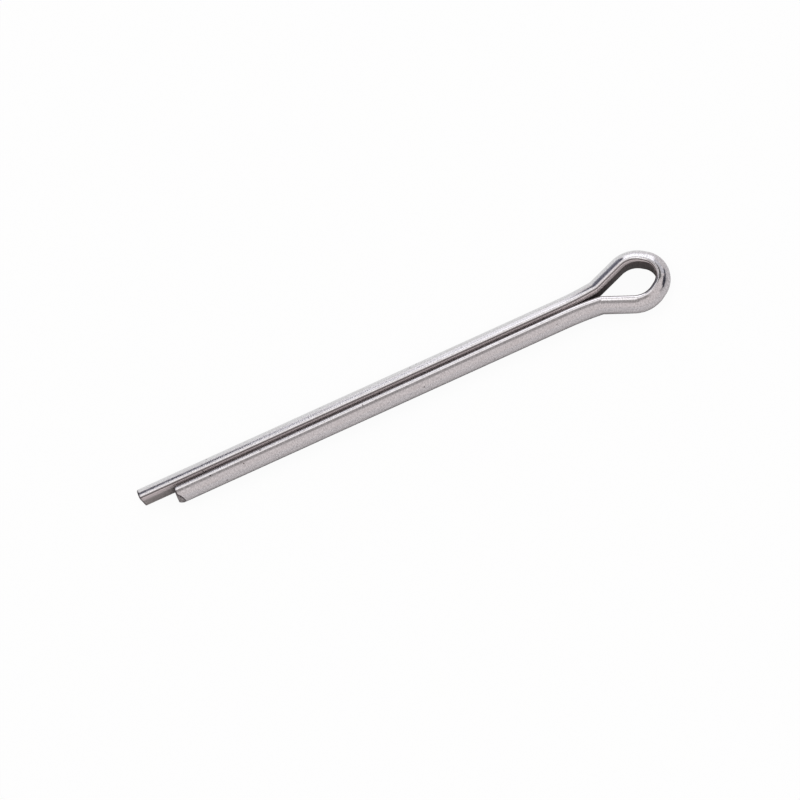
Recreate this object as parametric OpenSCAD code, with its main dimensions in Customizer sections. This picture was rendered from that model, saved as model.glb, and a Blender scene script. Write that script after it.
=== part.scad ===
// Split cotter pin, bent from one length of half-round wire.
// It lies flat: the eye's loop is in the XY plane, and the wire's flat side faces inwards.
// The eye points along +X and the legs along -X, with the long leg on the +Y side.
// The origin is on the shank's axis, level with the shoulders that stop against the hole.

/* [Wire] */
// Diameter that the two closed legs make together
shank_d = 3.68; // [2.8:0.02:4.6]
// Gap between the flats of the closed legs
leg_gap = 0.28; // [0.1:0.02:0.6]
// Radius along both edges of the wire's flat side
edge_r = 0.4; // [0.15:0.01:0.5]

/* [Legs] */
// Length of the short leg, from the shoulders to its tip
short_leg = 55.7; // [16:0.1:110]
// How much further than that the long leg reaches
leg_step = 4.15; // [0:0.05:8]
// Radius of the gentle bend by which each leg parts from the other, just below its shoulder
flare_r = 42.4; // [20:0.2:80]
// Angle to the shank's axis at which each leg reaches its shoulder
flare_angle = 6.3; // [3:0.1:9]

/* [Eye] */
// Inside length of the eye, from the shoulders to its round end
eye_len = 7.2; // [6.6:0.1:10]
// Angle of the eye's two limbs to its own axis
limb_angle = 22.5; // [19:0.5:28]
// Angle between the two runs that meet at the round end
nose_angle = 70.5; // [60:0.5:84]
// Angle by which the eye leans towards the short leg
eye_lean = 1.5; // [0:0.1:4]
// Outside radius of the bend at each shoulder
shoulder_r = 0.2; // [0.05:0.05:1]
// Inside radius of the bend at each side of the eye
side_r = 2.5; // [1.5:0.1:3]
// Inside radius of the eye's round end
end_r = 1.75; // [1:0.05:2]

/* [Sheared tips] */
// Slant of the cut across the long tip, whose top edge reaches furthest
long_cut_angle = 7.5; // [0:0.5:15]
// Slant of the cut across the short tip
short_cut_angle = 1; // [0:0.5:15]
// How far along each tip the cutter drew one of its corners over
draw_len = 0.35; // [0.1:0.05:0.8]
// How far across the tip that rounded corner reaches
draw_in = 0.45; // [0.2:0.05:0.9]
// Length of the nick on the outside of the short tip
nick_len = 0.75; // [0.2:0.05:1.2]
// Angle of the nick to the leg
nick_angle = 42; // [15:1:50]
// Angle at which the nick leans in towards its top
nick_lean = 2; // [0:1:12]

/* [Hidden] */
$fn = 96;
steel = [0.74, 0.73, 0.74];
LONG = 1;
SHORT = -1;
shank_r = shank_d / 2;
half_gap = leg_gap / 2;
// Thickness of the wire, from its flat side to the top of its round side
wire_t = shank_r - half_gap;
long_leg = short_leg + leg_step;
// Radius of the corner that the cutter drew over at each tip
draw_r = (pow(draw_len, 2) + pow(draw_in, 2)) / (2 * draw_len);
// A cutter's reach, which is past the wire on every side
reach = 2 * shank_d;

// The rounded edges stand this little proud of the two faces that they join.
proud = 0.01;
// Their centres' height over the flat side, and place across it
edge_x = edge_r - proud;
edge_y = sqrt(pow(shank_r - edge_x, 2) - pow(half_gap + edge_x, 2));

// The wire swells very slightly wherever it is bent: the gentle flares and the eye's runs are
// one swelling fuller than the legs, and the eye's bends are two. Each thinner length ends
// inside the fuller one beside it, by the lap.
swelling = 0.008;
lap = 0.02;

function along(a) = [cos(a), sin(a)];
function tangent_length(r, turn) = r * tan(abs(turn) / 2);
// Where the line through p at angle a meets the line through q at angle b
function meet(p, a, q, b) =
    let (d = q - p)
    p + along(a) * (d.x * sin(b) - d.y * cos(b)) / sin(b - a);

// The bends' radii are those of the wire's flat side. The shoulders bend about its round side.
shoulder_flat_r = shoulder_r + wire_t;
function limb_heading(side) = side * limb_angle - eye_lean;
function shoulder_turn(side) = limb_heading(side) - side * flare_angle;
flare_tangent = tangent_length(flare_r, flare_angle);
// Length of the line that slopes from each flare's own corner to the shoulder's
function slope(side) = flare_tangent + tangent_length(shoulder_flat_r, shoulder_turn(side));

// Corners of the flat side's line, before they are rounded to bends
function flare(side) = [-slope(side) * cos(flare_angle), side * half_gap];
function shoulder(side) = [0, side * (half_gap + slope(side) * sin(flare_angle))];
function cheek(side) =
    meet(shoulder(side), limb_heading(side), nose, 180 - eye_lean - side * nose_angle / 2);
nose = along(-eye_lean) * (eye_len + end_r / sin(nose_angle / 2) - end_r);

// Each corner of the eye with its radius, in order along the wire, between the two flares
corners = [
    [flare(LONG), 0],
    [shoulder(LONG), shoulder_flat_r],
    [cheek(LONG), side_r],
    [nose, end_r],
    [cheek(SHORT), side_r],
    [shoulder(SHORT), shoulder_flat_r],
    [flare(SHORT), 0],
];
last = len(corners) - 2;
function corner(i) = corners[i][0];
function radius(i) = corners[i][1];
// Heading of the straight run that leaves corner i
function heading(i) = let (d = corner(i + 1) - corner(i)) atan2(d.y, d.x);
function turn(i) = let (a = heading(i) - heading(i - 1)) a - 360 * round(a / 360);
function spent(i) = tangent_length(radius(i), turn(i));

// Half-round section: x is the height over the flat side, and y is the place across it.
// Its round side is part of the circle that both legs make together.
module wire_section(fuller) {
    // The round side ends on the lines from its centre through the edge circles' centres.
    out = reach * [half_gap + edge_x, edge_y] / (shank_r - edge_x);
    intersection() {
        translate([-half_gap, 0]) circle(shank_r + fuller);
        polygon([
            [-fuller, edge_y], [edge_x, edge_y], [edge_x, edge_y] + out, [2 * reach, 0],
            [edge_x + out.x, -edge_y - out.y], [edge_x, -edge_y], [-fuller, -edge_y],
        ]);
    }
    for (s = [-1, 1]) translate([edge_x, s * edge_y]) circle(edge_r + fuller);
}

// Straight wire that leaves p at angle a, with its round side on the left
module run(p, a, length, fuller) {
    translate(p) rotate([0, 0, a]) rotate([90, 0, 90])
        linear_extrude(length) wire_section(fuller);
}

// Bent wire with its flat side r from the centre, over the angle given
module bend(centre, r, start, angle, round_side_in, fuller) {
    translate(centre) rotate_extrude(angle = angle, start = start)
        translate([r, 0]) mirror([round_side_in ? 1 : 0, 0]) wire_section(fuller);
}

// The eye, with its two shoulders
module eye() {
    for (i = [1:last]) {
        // A left turn has its centre on the wire's round side.
        left = turn(i) > 0;
        a = heading(i - 1);
        centre = corner(i) - spent(i) * along(a) + radius(i) * along(left ? a + 90 : a - 90);
        start = left ? a - 90 : a + 90 + turn(i);
        bend(centre, radius(i), start, abs(turn(i)), left, 2 * swelling);
    }
    for (i = [1:last - 1]) {
        length = norm(corner(i + 1) - corner(i)) - spent(i) - spent(i + 1);
        start = corner(i) + (spent(i) - lap) * along(heading(i));
        run(start, heading(i), length + 2 * lap, swelling);
    }
}

// Straight leg with its flare, on the side given
module leg(side, length) {
    root = flare(side) - [flare_tangent, 0];
    end = side > 0 ? [-length, root.y] : root + [lap, 0];
    run(end, side > 0 ? 0 : 180, length + root.x + lap, 0);
    angle = flare_angle + lap / flare_r * 180 / PI;
    start = side > 0 ? -90 : 90 - angle;
    bend(root + [0, side * flare_r], flare_r, start, angle, true, swelling);
}

// All that lies short of x and beyond y, within reach
module cutter(x, y) {
    translate([x - reach, y, -reach]) cube([reach, reach, 2 * reach]);
}

// Cut across a tip at a slant. The cutter came from the +Y side, and it drew over the corner
// that it met first, at met_y.
module shear(length, slant, met_y) {
    translate([-length, 0, edge_y + edge_r]) rotate([0, -slant, 0]) {
        cutter(0, -reach / 2);
        difference() {
            cutter(draw_len, met_y - draw_in);
            translate([draw_r, met_y - draw_in, -reach]) cylinder(r = draw_r, h = 2 * reach);
        }
    }
}

module long_leg() {
    difference() {
        leg(LONG, long_leg);
        shear(long_leg, long_cut_angle, shank_r);
    }
}

module short_leg() {
    difference() {
        leg(SHORT, short_leg);
        shear(short_leg, short_cut_angle, proud - half_gap);
        translate([nick_len - short_leg, -shank_r, 0])
            rotate([-nick_lean, 0, -nick_angle]) cutter(reach / 2, -reach);
    }
}

// Split pin in one piece: the eye, its shoulders and the two legs
module split_pin() {
    color(steel) {
        eye();
        long_leg();
        short_leg();
    }
}

split_pin();
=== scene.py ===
"""A split cotter pin of satin drawn steel, lying on a white floor."""
import math

import bpy
import numpy as np
from mathutils import Matrix, Vector, noise


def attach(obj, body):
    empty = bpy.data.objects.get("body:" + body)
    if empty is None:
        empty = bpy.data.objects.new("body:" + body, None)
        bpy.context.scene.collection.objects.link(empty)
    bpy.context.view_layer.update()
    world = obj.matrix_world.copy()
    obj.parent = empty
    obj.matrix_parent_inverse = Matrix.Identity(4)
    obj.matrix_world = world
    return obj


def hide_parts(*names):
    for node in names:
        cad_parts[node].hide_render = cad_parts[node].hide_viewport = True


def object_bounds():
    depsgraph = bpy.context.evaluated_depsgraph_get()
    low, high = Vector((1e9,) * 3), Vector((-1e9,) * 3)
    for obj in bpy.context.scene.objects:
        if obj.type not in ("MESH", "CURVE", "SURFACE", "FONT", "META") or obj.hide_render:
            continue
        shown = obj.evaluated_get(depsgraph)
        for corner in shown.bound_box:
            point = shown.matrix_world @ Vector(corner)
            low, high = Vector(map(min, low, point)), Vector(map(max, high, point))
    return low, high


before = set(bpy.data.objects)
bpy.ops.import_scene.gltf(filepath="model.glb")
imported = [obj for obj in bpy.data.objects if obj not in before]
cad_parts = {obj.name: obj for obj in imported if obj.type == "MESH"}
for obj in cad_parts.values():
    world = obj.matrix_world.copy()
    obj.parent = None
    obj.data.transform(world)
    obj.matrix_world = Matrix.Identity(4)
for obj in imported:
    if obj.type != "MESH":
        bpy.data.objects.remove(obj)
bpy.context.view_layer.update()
MM = 0.001

# The wire's sizes, in millimetres, as the solid has them
SHANK_R = 1.84
HALF_GAP = 0.14
EDGE_R = 0.4
LONG_LEG = 59.85
SHORT_LEG = 55.7
FLARE_R = 42.4
FLARE_ANGLE = 6.3
EYE_LEN = 7.2
LIMB_ANGLE = 22.5
NOSE_ANGLE = 70.5
EYE_LEAN = 1.5
SHOULDER_R = 0.2
SIDE_R = 2.5
END_R = 1.75
WIRE_T = SHANK_R - HALF_GAP
SHOULDER_FLAT_R = SHOULDER_R + WIRE_T

# The sheared tips
LONG_CUT = 7.5
SHORT_CUT = 1.0
DRAW_LEN = 0.35
DRAW_IN = 0.45
NICK_LEN = 0.75
NICK_ANGLE = 42
NICK_LEAN = 2
RIM_R = 0.1
TORN = 0.02

# The two legs, as the side of the shank's axis that each is on
LONG, SHORT = 1, -1

# Spacing of the mesh's rows, in millimetres, and how many points each part of the section has
STRAIGHT_STEP = 0.3
BEND_STEP = 0.12
ROUND_STEPS, EDGE_STEPS, FLAT_STEPS = 52, 14, 20
# Extra rows at the tips, the length of leg over which the rows lean towards the cut, and the
# rings that each cut face has
TIP_ROWS = (0.015, 0.035, 0.06, 0.1, 0.16, 0.23)
TIP_BLEND = 1.6
CAP_RINGS = 22
CAP_MIDDLE = 0.45


# ---------------------------------------------------------------- the wire's path
def along(deg):
    return np.array([math.cos(math.radians(deg)), math.sin(math.radians(deg))])


def tangent_length(r, turn):
    return r * math.tan(math.radians(abs(turn)) / 2)


def meet(p, a, q, b):
    """Where the line through p at angle a meets the line through q at angle b."""
    d, a, b = q - p, math.radians(a), math.radians(b)
    reach = (d[0] * math.sin(b) - d[1] * math.cos(b)) / math.sin(b - a)
    return p + reach * np.array([math.cos(a), math.sin(a)])


def limb_heading(side):
    return side * LIMB_ANGLE - EYE_LEAN


def slope(side):
    """Length of the line that slopes from a flare's corner to its shoulder's."""
    shoulder_turn = limb_heading(side) - side * FLARE_ANGLE
    return tangent_length(FLARE_R, FLARE_ANGLE) + tangent_length(SHOULDER_FLAT_R, shoulder_turn)


def flare(side):
    return np.array([-slope(side) * math.cos(math.radians(FLARE_ANGLE)), side * HALF_GAP])


def shoulder(side):
    return np.array([0, side * (HALF_GAP + slope(side) * math.sin(math.radians(FLARE_ANGLE)))])


def cheek(side):
    return meet(shoulder(side), limb_heading(side), nose, 180 - EYE_LEAN - side * NOSE_ANGLE / 2)


def turned(a):
    return (a + 180) % 360 - 180


nose = along(-EYE_LEAN) * (EYE_LEN + END_R / math.sin(math.radians(NOSE_ANGLE / 2)) - END_R)
corners = [
    (np.array([-LONG_LEG, HALF_GAP]), 0),
    (flare(LONG), FLARE_R),
    (shoulder(LONG), SHOULDER_FLAT_R),
    (cheek(LONG), SIDE_R),
    (nose, END_R),
    (cheek(SHORT), SIDE_R),
    (shoulder(SHORT), SHOULDER_FLAT_R),
    (flare(SHORT), FLARE_R),
    (np.array([-SHORT_LEG, -HALF_GAP]), 0),
]


def path():
    """The flat side's line as (point, heading, step) for each row of the mesh."""
    headings = [
        math.degrees(math.atan2(*(q - p)[::-1])) for (p, _), (q, _) in zip(corners, corners[1:])
    ]
    rows, pos, at = [], corners[0][0], 0.0
    for i in range(1, len(corners)):
        corner, r = corners[i]
        here = headings[i - 1]
        turn = turned(headings[i] - here) if i < len(headings) else 0
        spent = tangent_length(r, turn)
        length = np.dot(corner - pos, along(here)) - spent
        if length > 1e-6:
            steps = max(2, round(length / STRAIGHT_STEP))
            for t in np.linspace(0, length, steps, endpoint=False):
                rows.append((pos + along(here) * t, here, at + t))
            pos, at = pos + along(here) * length, at + length
        if turn:
            side = math.copysign(1, turn)
            centre = pos + along(here + 90 * side) * r
            steps = max(8, round(math.radians(abs(turn)) * (r + WIRE_T) / BEND_STEP))
            for t in np.linspace(0, 1, steps, endpoint=False):
                heading = here + turn * t
                point = centre - along(heading + 90 * side) * r
                rows.append((point, heading, at + t * r * math.radians(abs(turn))))
            pos = pos + spent * (along(here) + along(headings[i]))
            at += r * math.radians(abs(turn))
    rows.append((pos, headings[-1], at))
    return rows


def section():
    """The half-round section as (height over the flat, place across, and the outward normal's two).

    It starts at the flat's low edge, goes up the flat, over the top edge and down the round side.
    """
    to_centre = SHANK_R - EDGE_R
    centre_z = math.sqrt(to_centre**2 - (HALF_GAP + EDGE_R) ** 2)
    ends = math.atan2(centre_z, HALF_GAP + EDGE_R)
    points = [(0, z, -1, 0) for z in np.linspace(-centre_z, centre_z, FLAT_STEPS, endpoint=False)]
    for a in np.linspace(math.pi, ends, EDGE_STEPS, endpoint=False):
        c, s = math.cos(a), math.sin(a)
        points.append((EDGE_R + EDGE_R * c, centre_z + EDGE_R * s, c, s))
    for a in np.linspace(ends, -ends, ROUND_STEPS, endpoint=False):
        c, s = math.cos(a), math.sin(a)
        points.append((SHANK_R * c - HALF_GAP, SHANK_R * s, c, s))
    for a in np.linspace(-ends, -math.pi, EDGE_STEPS, endpoint=False):
        c, s = math.cos(a), math.sin(a)
        points.append((EDGE_R + EDGE_R * c, -centre_z + EDGE_R * s, c, s))
    return np.array(points), centre_z


# ---------------------------------------------------------------- the sheared tips
def tip_x(side, y, z, top):
    """Where the cut leaves the leg at (y, z), as x in millimetres."""
    length, slant = (LONG_LEG, LONG_CUT) if side == LONG else (SHORT_LEG, SHORT_CUT)
    met_y = SHANK_R if side == LONG else -HALF_GAP
    lean = math.tan(math.radians(slant)) * (top - z)
    draw_r = (DRAW_LEN**2 + DRAW_IN**2) / (2 * DRAW_LEN)
    into = min(max(y - (met_y - DRAW_IN), 0), DRAW_IN)
    x = lean + draw_r - math.sqrt(draw_r**2 - into**2)
    if side == SHORT:
        # The nick's plane meets the outer face NICK_LEN from the tip
        nick = math.radians(NICK_ANGLE)
        deep = (y + SHANK_R) * math.cos(nick) - z * math.tan(math.radians(NICK_LEAN))
        x = max(x, NICK_LEN - deep / math.sin(nick))
    x += TORN * noise.noise(Vector((y * 7, z * 4, side * 7)))
    return x - length


# ---------------------------------------------------------------- mesh
def nose_at(wire_length):
    """How far along the wire the middle of the eye's round end is, from the long leg's tip."""
    return (wire_length + LONG_LEG - SHORT_LEG) / 2


def surface_wave(s, across, on_round, wire_length):
    """Small unevenness of the drawn surface, in millimetres, least on the eye."""
    from_nose = abs(s - nose_at(wire_length))
    on_round *= 0.15 + 1.1 * min(1, max(0, (from_nose - 12) / 40))
    lines = 0.0012 * noise.noise(Vector((s * 0.05, across * 5.0, 3.1)))
    mottle = 0.0016 * noise.noise(Vector((s * 1.6, across * 3.0, 7.7)))
    drift = 0.004 * noise.noise(Vector((s * 0.25, across * 0.6, 1.3)))
    return lines + mottle * on_round + drift


def with_tip_rows(rows):
    """The path's rows, with closer ones at both tips."""
    (p0, h0, _), (p1, h1, end) = rows[0], rows[-1]
    first = [(p0 + along(h0) * t, h0, t) for t in TIP_ROWS]
    last = [(p1 - along(h1) * t, h1, end - t) for t in reversed(TIP_ROWS)]
    return rows[:1] + first + rows[1:-1] + last + rows[-1:]


def wire_points(rows, sec, across, top):
    """The wire's surface: one ring of points to each row of the path."""
    wire_length = rows[-1][2]
    points = []
    for p, heading, s in rows:
        left = along(heading + 90)
        near = min(s, wire_length - s)
        for k, (h, z, nh, nz) in enumerate(sec):
            d = surface_wave(s, across[k], min(1, max(0, nh + 0.3)), wire_length)
            if near < RIM_R:
                d -= RIM_R - math.sqrt(RIM_R**2 - (RIM_R - near) ** 2)
            x, y = p + left * (h + d * nh)
            zz = z + d * nz
            if near < TIP_BLEND and x < -SHORT_LEG / 2:
                side, end_x = (LONG, -LONG_LEG) if s < TIP_BLEND else (SHORT, -SHORT_LEG)
                cut = tip_x(side, y, zz, top)
                x = cut + (end_x + TIP_BLEND - cut) * near / TIP_BLEND
            points.append((x * MM, y * MM, zz * MM))
    return points


def add_cap(verts, faces, rim, side, top):
    """Close one end with its cut face, as rings that shrink towards the section's middle."""
    n = len(rim)
    ys = np.array([verts[i][1] / MM for i in rim])
    zs = np.array([verts[i][2] / MM for i in rim])
    mid_y = side * (HALF_GAP + WIRE_T * CAP_MIDDLE)
    previous = rim
    for ring in range(1, CAP_RINGS + 1):
        t = 1 - ring / (CAP_RINGS + 1)
        current = []
        for y, z in zip(ys, zs):
            yy, zz = mid_y + (y - mid_y) * t, z * t
            current.append(len(verts))
            verts.append((tip_x(side, yy, zz, top) * MM, yy * MM, zz * MM))
        for k in range(n):
            a, b = previous[k], previous[(k + 1) % n]
            c, d = current[(k + 1) % n], current[k]
            faces.append((a, b, c, d) if side == LONG else (a, d, c, b))
        previous = current
    faces.append(tuple(previous) if side == LONG else tuple(reversed(previous)))


def make_wire():
    """The pin, with its flat side's width and the lengths round its section and along it."""
    sec, centre_z = section()
    top = centre_z + EDGE_R
    rows = with_tip_rows(path())
    n = len(sec)
    across = np.concatenate([[0], np.cumsum(np.hypot(*np.diff(sec[:, :2], axis=0).T))])
    around = across[-1] + math.hypot(*(sec[0, :2] - sec[-1, :2]))
    verts = wire_points(rows, sec, across, top)
    faces = []
    for j in range(len(rows) - 1):
        for k in range(n):
            a, b = j * n + k, j * n + (k + 1) % n
            faces.append((a, a + n, b + n, b))
    sides = len(faces)
    for side, row in ((LONG, 0), (SHORT, len(rows) - 1)):
        add_cap(verts, faces, [row * n + k for k in range(n)], side, top)
    mesh = bpy.data.meshes.new("wire")
    mesh.from_pydata(verts, [], faces)
    # The map is in millimetres: along the wire and round its section, or across a cut face.
    uv = mesh.uv_layers.new(name="along_wire")
    for poly in mesh.polygons:
        for loop in poly.loop_indices:
            v = mesh.loops[loop].vertex_index
            j, k = divmod(v, n)
            if poly.index < sides:
                wraps = k == 0 and poly.index % n == n - 1
                uv.data[loop].uv = (rows[j][2], around if wraps else across[k])
            else:
                uv.data[loop].uv = (verts[v][2] / MM, verts[v][1] / MM)
        poly.material_index = int(poly.index >= sides)
    mesh.shade_smooth()
    mesh.set_sharp_from_angle(angle=math.radians(38))
    piece = bpy.data.objects.new("wire", mesh)
    bpy.context.scene.collection.objects.link(piece)
    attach(piece, "root")
    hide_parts("split_pin")
    return piece, 2 * centre_z, around, rows[-1][2]


# ---------------------------------------------------------------- materials
# Where the finish and the painted shade change on the wire, in millimetres round its section. A
# dark line of painted shade, as in a crease, lies CREASE_AT past each border of the flat side, and
# the dull finish ends at DULL_TO past it. Dark scale, painted darker as shade, covers the flat
# side's core, up to FLAT_CORE over its middle on the legs; the painted shade reaches NOSE_CORE more
# at the eye's end, and OVER_EDGE over the edge just past it.
CREASE_AT = 0.35
DULL_TO = 0.41
FLAT_CORE = 0.63
NOSE_CORE = 0.95
OVER_EDGE = 1.9
# How much further the long leg reaches than the short one
LEG_STEP = LONG_LEG - SHORT_LEG


class Nodes:
    """A short way to write a node tree."""

    def __init__(self, owner):
        owner.use_nodes = True
        self.tree = owner.node_tree
        self.tree.nodes.clear()

    def add(self, kind, inputs=None, **settings):
        node = self.tree.nodes.new(kind)
        for key, value in settings.items():
            setattr(node, key, value)
        for key, value in (inputs or {}).items():
            if isinstance(value, bpy.types.NodeSocket):
                self.tree.links.new(value, node.inputs[key])
            else:
                node.inputs[key].default_value = value
        return node

    def math(self, operation, *values):
        inputs = dict(enumerate(values))
        return self.add("ShaderNodeMath", inputs, operation=operation).outputs[0]

    def ramp(self, value, low, high, to_low=0.0, to_high=1.0):
        """Eases from to_low at the value low to to_high at the value high."""
        inputs = {"Value": value, "From Min": low, "From Max": high}
        inputs |= {"To Min": to_low, "To Max": to_high}
        node = self.add("ShaderNodeMapRange", inputs, interpolation_type="SMOOTHSTEP")
        return node.outputs["Result"]

    def mix(self, factor, a, b):
        node = self.add("ShaderNodeMix", data_type="RGBA")
        for socket, value in ((node.inputs[0], factor), (node.inputs[6], a), (node.inputs[7], b)):
            if isinstance(value, bpy.types.NodeSocket):
                self.tree.links.new(value, socket)
            else:
                socket.default_value = value
        return node.outputs[2]

    def noise(self, vector, scale, detail, roughness=0.55):
        inputs = {"Vector": vector, "Scale": scale, "Detail": detail, "Roughness": roughness}
        return self.add("ShaderNodeTexNoise", inputs).outputs["Fac"]

    def stretched(self, vector, x, y):
        inputs = {"Vector": vector, "Scale": (x, y, 1.0)}
        return self.add("ShaderNodeMapping", inputs).outputs["Vector"]

    def bump(self, height, strength, distance, normal=None):
        inputs = {"Height": height, "Strength": strength, "Distance": distance * MM}
        if normal:
            inputs["Normal"] = normal
        return self.add("ShaderNodeBump", inputs).outputs["Normal"]


def drawn_steel(flat_width, around, wire_length):
    """Half-round wire: a bright satin round side, and a flat side that is dull and brown-black,
    with painted shade and light on it.
    """
    mat = bpy.data.materials.new("drawn_steel")
    t = Nodes(mat)
    uv = t.add("ShaderNodeUVMap", uv_map="along_wire").outputs["UV"]
    place = t.add("ShaderNodeSeparateXYZ", {"Vector": uv}).outputs
    # Place round the section from the middle of the flat side, and the distance from there
    over_middle = t.math("SUBTRACT", place["Y"], flat_width / 2)
    round_flat = t.math("WRAP", over_middle, around / 2, -around / 2)
    from_flat = t.math("ABSOLUTE", round_flat)
    # Distance along the wire from the middle of the eye's round end, and from the nearer tip
    past_nose = t.math("SUBTRACT", place["X"], nose_at(wire_length))
    from_nose = t.math("ABSOLUTE", past_nose)
    from_tip = t.math("MINIMUM", place["X"], t.math("SUBTRACT", wire_length, place["X"]))
    crease = flat_width / 2 + CREASE_AT
    dull_end = flat_width / 2 + DULL_TO
    dull_part = t.ramp(from_flat, dull_end + 0.04, dull_end - 0.04)
    # The flat side is painted lighter where the long leg's tip stands clear of the short one:
    # painted light, as no shade from the short leg falls there.
    clear = t.ramp(place["X"], LEG_STEP + 1.0, LEG_STEP - 0.6)
    # The dark core reaches further round at the eye's round end: painted shade inside the eye's
    # end.
    core_edge = t.ramp(from_nose, 5.5, 0.3, FLAT_CORE, FLAT_CORE + NOSE_CORE)
    # Just past the eye's round end the painted shade reaches over the flat side's edge.
    beyond_nose = t.math("MULTIPLY", t.ramp(past_nose, -1.0, 0.6), t.ramp(past_nose, 6.0, 3.5))
    over_edge = t.math("MULTIPLY", beyond_nose, OVER_EDGE)
    core_edge = t.math("MAXIMUM", core_edge, over_edge)
    core_blur = t.ramp(clear, 0.0, 1.0, 0.1, 0.4)
    inside = t.math("DIVIDE", t.math("SUBTRACT", core_edge, round_flat), core_blur)
    scale_and_shade = t.ramp(inside, -1.0, 1.0)
    # A thin dark line painted along each border of the flat side: painted shade, as in a crease the
    # mesh doesn't have.
    up_to_crease = t.ramp(from_flat, crease - 0.12, crease - 0.02)
    line = t.math("MULTIPLY", up_to_crease, t.ramp(from_flat, crease + 0.1, crease))

    die_lines = t.noise(t.stretched(uv, 0.12, 9.0), 1.0, 3.0)
    grain = t.noise(t.stretched(uv, 7.5, 3.2), 1.0, 4.0, 0.7)
    stains = t.noise(t.stretched(uv, 0.4, 1.5), 1.0, 3.0)
    streaks = t.noise(t.stretched(uv, 7.0, 0.5), 1.0, 2.0)
    scratches = t.noise(t.stretched(uv, 0.3, 22.0), 1.0, 2.0)
    dots = t.add("ShaderNodeTexVoronoi", {"Vector": uv, "Scale": 1.2}).outputs
    few = t.add("ShaderNodeSeparateColor", {"Color": dots["Color"]}).outputs["Red"]
    # Scattered small dark specks.
    dark_specks = t.math("MULTIPLY", t.ramp(dots["Distance"], 0.16, 0.08), t.ramp(few, 0.65, 0.85))

    bright = t.mix(t.ramp(grain, 0.3, 0.7), (0.47, 0.465, 0.475, 1), (0.79, 0.785, 0.795, 1))
    bright = t.mix(t.ramp(stains, 0.45, 0.75, 0.0, 0.35), bright, (0.55, 0.52, 0.515, 1))
    # Between the crease and the scale the metal shows, painted lighter in the eye than in the gap
    # between the legs: painted light.
    in_eye = t.ramp(from_nose, 17, 9)
    strip = t.mix(in_eye, (0.64, 0.595, 0.60, 1), (0.97, 0.92, 0.92, 1))
    strip = t.mix(t.ramp(die_lines, 0.2, 0.8, 0.0, 0.4), strip, (0.40, 0.365, 0.37, 1))
    # The flat side's core: dark scale, painted darker still as shade, most in the gap between the
    # legs and less in the eye.
    core = t.mix(in_eye, (0.08, 0.064, 0.064, 1), (0.19, 0.155, 0.15, 1))
    core = t.mix(streaks, (0.03, 0.024, 0.024, 1), core)
    # Where the long leg's tip stands clear, the core is painted pale: painted light.
    core = t.mix(clear, core, t.mix(streaks, (0.20, 0.19, 0.187, 1), (0.38, 0.362, 0.356, 1)))
    # The flat side's look: the strip's metal and the core's scale, both with painted light and
    # shade.
    dull = t.mix(scale_and_shade, strip, core)
    colour = t.mix(dull_part, bright, dull)
    colour = t.mix(line, colour, (0.07, 0.06, 0.06, 1))
    colour = t.mix(dark_specks, colour, (0.15, 0.13, 0.13, 1))
    # The last few tenths of a millimetre to each tip are painted dark: painted shade at the burred
    # end.
    torn = t.ramp(t.math("ADD", from_tip, t.math("MULTIPLY", stains, 0.2)), 0.36, 0.2)
    colour = t.mix(torn, colour, (0.10, 0.09, 0.095, 1))

    gloss = t.ramp(grain, 0.3, 0.7, 0.09, 0.16)
    rough = t.math("ADD", t.math("MULTIPLY", dull_part, 0.4), gloss)
    normal = t.bump(die_lines, 0.5, 0.003)
    normal = t.bump(scratches, 0.5, 0.0015, normal)
    # The grain is coarser towards the tips.
    normal = t.bump(grain, t.ramp(from_nose, 8, 50, 0.1, 0.8), 0.008, normal)
    metal = t.ramp(dull_part, 0.0, 1.0, 1.0, 0.1)
    inputs = {"Base Color": colour, "Metallic": metal, "Roughness": rough, "Normal": normal}
    shader = t.add("ShaderNodeBsdfPrincipled", inputs)
    t.add("ShaderNodeOutputMaterial", {"Surface": shader.outputs["BSDF"]})
    return mat


def sheared_steel():
    """The two cut faces, torn rather than drawn."""
    mat = bpy.data.materials.new("sheared_steel")
    t = Nodes(mat)
    uv = t.add("ShaderNodeUVMap", uv_map="along_wire").outputs["UV"]
    tear = t.noise(t.stretched(uv, 1.2, 7.0), 2.0, 4.0, 0.65)
    colour = t.mix(t.ramp(tear, 0.35, 0.7), (0.10, 0.09, 0.09, 1), (0.80, 0.78, 0.78, 1))
    rough = t.ramp(tear, 0.3, 0.7, 0.5, 0.32)
    normal = t.bump(tear, 0.8, 0.03)
    inputs = {"Base Color": colour, "Metallic": 1.0, "Roughness": rough, "Normal": normal}
    shader = t.add("ShaderNodeBsdfPrincipled", inputs)
    t.add("ShaderNodeOutputMaterial", {"Surface": shader.outputs["BSDF"]})
    return mat


# The share of the floor's look that is plain white where the camera sees it
LIFT = 0.96


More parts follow.
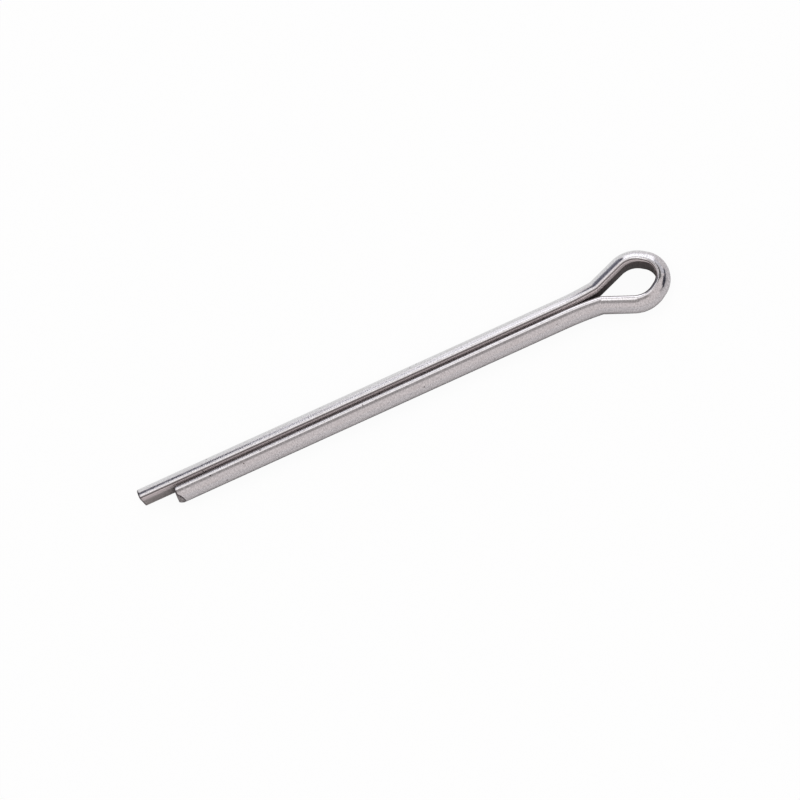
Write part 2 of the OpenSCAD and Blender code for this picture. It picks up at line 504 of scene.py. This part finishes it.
def white_floor():
    """Smooth white card, lifted to white where it's seen; part of the shadow on it stays, a painted
    contact shadow darkens it next to the pin, and behind the pin it glows as painted light for the
    metal.
    """
    mat = bpy.data.materials.new("white_floor")
    t = Nodes(mat)
    ray = t.add("ShaderNodeLightPath").outputs
    seen = t.math("MAXIMUM", ray["Is Camera Ray"], ray["Is Transmission Ray"])
    # Behind the pin the card glows white where the metal mirrors it: painted light, standing in for
    # the big box's light falling more on the card behind the pin than in front of it.
    on_card = t.add("ShaderNodeTexCoord").outputs["Object"]
    place = t.add("ShaderNodeSeparateXYZ", {"Vector": on_card}).outputs
    beyond = t.ramp(place["Y"], -0.001, 0.005, 0.0, LIFT)
    behind = t.math("MULTIPLY", beyond, t.ramp(place["X"], 0.012, 0.006))
    mirrored_glow = t.math("MULTIPLY", ray["Is Glossy Ray"], behind)
    lift = t.math("MAXIMUM", t.math("MULTIPLY", seen, LIFT), mirrored_glow)
    # Close to the pin the card's colour is painted darker: a painted contact shadow.
    contact_shadow = t.add("ShaderNodeAmbientOcclusion", {"Distance": 0.0032}, samples=8).outputs["AO"]
    colour = t.mix(t.ramp(contact_shadow, 0.42, 0.85), (0.15, 0.15, 0.16, 1), (0.96, 0.96, 0.96, 1))
    card = t.add("ShaderNodeBsdfPrincipled", {"Base Color": colour, "Roughness": 0.3})
    white = t.add("ShaderNodeEmission", {"Color": (1, 1, 1, 1), "Strength": 1.0})
    both = t.add("ShaderNodeMixShader", {0: lift, 1: card.outputs[0], 2: white.outputs[0]})
    t.add("ShaderNodeOutputMaterial", {"Surface": both.outputs[0]})
    return mat


def grey_cloth():
    """The flag's dull cloth."""
    mat = bpy.data.materials.new("grey_cloth")
    t = Nodes(mat)
    cloth = t.add("ShaderNodeBsdfDiffuse", {"Color": (0.25, 0.26, 0.31, 1)})
    t.add("ShaderNodeOutputMaterial", {"Surface": cloth.outputs[0]})
    return mat


wire, flat_width, around, wire_length = make_wire()
wire.data.materials.append(drawn_steel(flat_width, around, wire_length))
wire.data.materials.append(sheared_steel())

# ---------------------------------------------------------------- stage
FLOOR_HALF = 3.0
# A flag out of the picture, behind the tips, cuts off their view of the big box's border.
FLAG_AWAY = 0.2
FLAG_LEFT, FLAG_RIGHT = -0.09, -0.032
FLAG_FOOT, FLAG_TOP_LEFT, FLAG_TOP_RIGHT = 0.03, 0.198, 0.107


def stage_card(name, corners, material):
    """A flat card of the stage, which isn't part of the object."""
    mesh = bpy.data.meshes.new(name)
    mesh.from_pydata(corners, [], [(0, 1, 2, 3)])
    card = bpy.data.objects.new(name, mesh)
    card.data.materials.append(material)
    bpy.context.scene.collection.objects.link(card)
    return card


floor_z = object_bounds()[0].z
floor = [(x * FLOOR_HALF, y * FLOOR_HALF, floor_z) for x, y in ((-1, -1), (1, -1), (1, 1), (-1, 1))]
stage_card("floor", floor, white_floor())

flag = [
    (FLAG_LEFT, FLAG_AWAY, FLAG_FOOT),
    (FLAG_RIGHT, FLAG_AWAY, FLAG_FOOT),
    (FLAG_RIGHT, FLAG_AWAY, FLAG_TOP_RIGHT),
    (FLAG_LEFT, FLAG_AWAY, FLAG_TOP_LEFT),
]
stage_card("flag", flag, grey_cloth()).visible_camera = False

# The studio: where each soft box or dark wall stands in the sky, as azimuth and elevation in
# degrees from and to, the width of its soft border, and its colour. Later ones lie over earlier
# ones.
ROOM = (0.835, 0.77, 0.768)
STUDIO = (
    # name, azimuth, elevation, border, colour
    ("overhead", (0, 360), (66, 100), 8, (1.32, 1.27, 1.275)),
    ("left wall", (130, 215), (-5, 22), 14, (0.36, 0.32, 0.33)),
    ("left box", (205, 254), (58, 82), 8, (1.75, 1.70, 1.70)),
    ("camera", (250, 297), (45, 68.5), 8, (0.44, 0.41, 0.41)),
    ("camera's stand", (220, 258), (36, 59), 6, (0.46, 0.43, 0.43)),
    ("right wall", (318, 372), (-5, 13), 8, (0.04, 0.04, 0.06)),
    ("right door", (326, 352), (8, 24), 6, (0.05, 0.05, 0.07)),
    ("right top", (-10, 46), (38, 76), 10, (0.10, 0.10, 0.10)),
    ("right box", (0, 50), (10, 34), 10, (0.72, 0.71, 0.76)),
    ("back top", (110, 195), (58, 82), 8, (0.50, 0.48, 0.49)),
    ("back dimness", (84, 125), (40, 64), 8, (0.60, 0.58, 0.62)),
    ("back dark", (98, 126), (34, 62), 6, (0.12, 0.12, 0.15)),
    ("back foot", (92, 120), (-5, 13), 6, (0.38, 0.38, 0.43)),
    ("back gap", (84, 120), (12, 42), 5, (0.19, 0.19, 0.24)),
    ("gap's dark side", (84, 92), (14, 40), 4, (0.05, 0.05, 0.08)),
    ("above the box", (35, 76), (55, 72), 6, (0.45, 0.43, 0.44)),
    ("back box", (42, 87.2), (-5, 57), 3, (1.58, 1.555, 1.62)),
    ("box's foot", (60, 88.2), (-5, 7), 4, (1.15, 1.13, 1.17)),
    ("box's heart", (68, 86), (28, 54), 8, (1.95, 1.92, 1.98)),
)


def studio_world():
    world = bpy.data.worlds.new("studio")
    bpy.context.scene.world = world
    t = Nodes(world)
    sky = t.add("ShaderNodeTexCoord").outputs["Generated"]
    way = t.add("ShaderNodeSeparateXYZ", {"Vector": sky}).outputs
    azimuth = t.math("DEGREES", t.math("ARCTAN2", way["Y"], way["X"]))
    elevation = t.math("DEGREES", t.math("ARCSINE", way["Z"]))
    colour = (*ROOM, 1)
    for _, (a0, a1), (e0, e1), border, shade in STUDIO:
        turned_by = t.math("WRAP", t.math("SUBTRACT", azimuth, (a0 + a1) / 2), 180, -180)
        off_a = t.math("ABSOLUTE", turned_by)
        off_e = t.math("ABSOLUTE", t.math("SUBTRACT", elevation, (e0 + e1) / 2))
        half_a, half_e = (a1 - a0) / 2, (e1 - e0) / 2
        inside = t.ramp(off_e, half_e + border / 2, half_e - border / 2)
        if half_a < 180:
            beside = t.ramp(off_a, half_a + border / 2, half_a - border / 2)
            inside = t.math("MULTIPLY", inside, beside)
        colour = t.mix(inside, colour, (*shade, 1))
    background = t.add("ShaderNodeBackground", {"Color": colour, "Strength": 1.0})
    t.add("ShaderNodeOutputWorld", {"Surface": background.outputs["Background"]})
    return world


studio_world()

# ---------------------------------------------------------------- camera
MM_PER_PIXEL = 0.1189
IMAGE = 800
SHANK_RISE = 24.41
CAMERA_TILT = 18.6
CAMERA_SIDE = -0.0546
LENS, SENSOR = 400.0, 36.0
TARGET = Vector((-26.78, -1.418, 0.0)) * MM

towards = Vector((CAMERA_SIDE, -math.tan(math.radians(CAMERA_TILT)), 1)).normalized()
shank = (Vector((1, 0, 0)) - towards * towards.x).normalized()
across = towards.cross(shank)
rise = math.radians(SHANK_RISE)
right = shank * math.cos(rise) - across * math.sin(rise)
up = shank * math.sin(rise) + across * math.cos(rise)
distance = IMAGE * MM_PER_PIXEL * MM * LENS / SENSOR

camera = bpy.data.objects.new("camera", bpy.data.cameras.new("camera"))
camera.data.lens, camera.data.sensor_width = LENS, SENSOR
camera.data.clip_start, camera.data.clip_end = 0.01, 20
turn = Matrix((right, up, towards)).transposed().to_4x4()
camera.matrix_world = Matrix.Translation(TARGET + towards * distance) @ turn
bpy.context.scene.collection.objects.link(camera)
bpy.context.scene.camera = camera

bpy.context.scene.view_settings.view_transform = "Standard"
